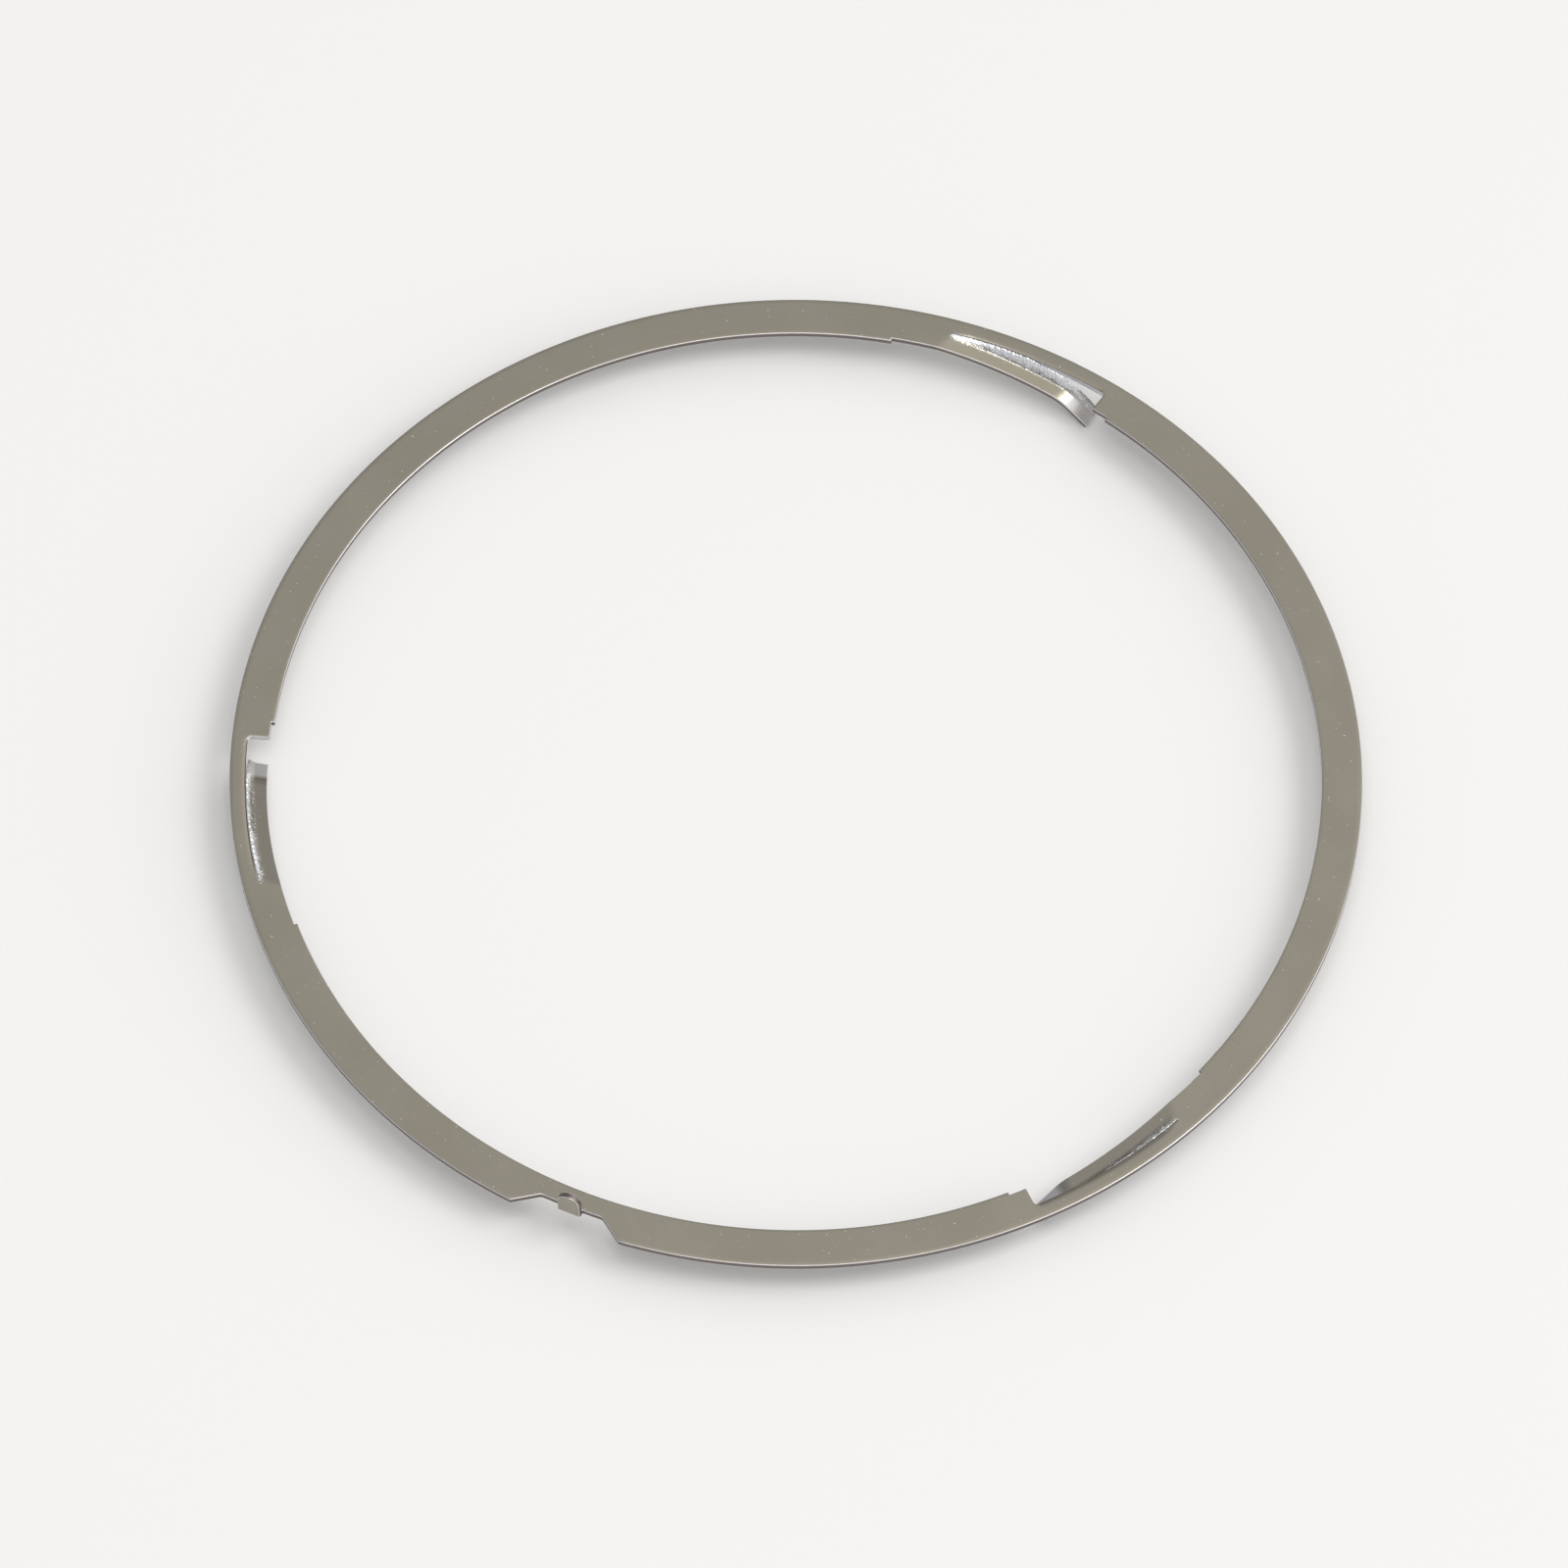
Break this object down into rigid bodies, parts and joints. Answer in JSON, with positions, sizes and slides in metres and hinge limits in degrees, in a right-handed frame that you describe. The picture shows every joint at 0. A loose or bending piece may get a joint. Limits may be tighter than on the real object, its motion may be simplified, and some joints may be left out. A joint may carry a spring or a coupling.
{
  "type": "bezel click spring",
  "caption": "Thin flat spring steel ring with clicks lanced from its inner edge and bent down, and a locating tab folded up in a notch of its outer edge.",
  "frame": {"origin": "on the collar's axis, in the plane of the band's upper face, the face that the tab stands on", "axes": "+Z is the collar's axis, towards the side the tab stands on; the clicks are bent towards -Z; the tab lies on -Y"},
  "size_m": [0.0344, 0.0344, 0.0022],
  "materials": {
    "spring_steel": "satin rolled strip, with bright sheared edges and bright bends at the clicks"
  },
  "bodies": {
    "root": {"click_spring": "spring_steel"}
  },
  "joints": []
}
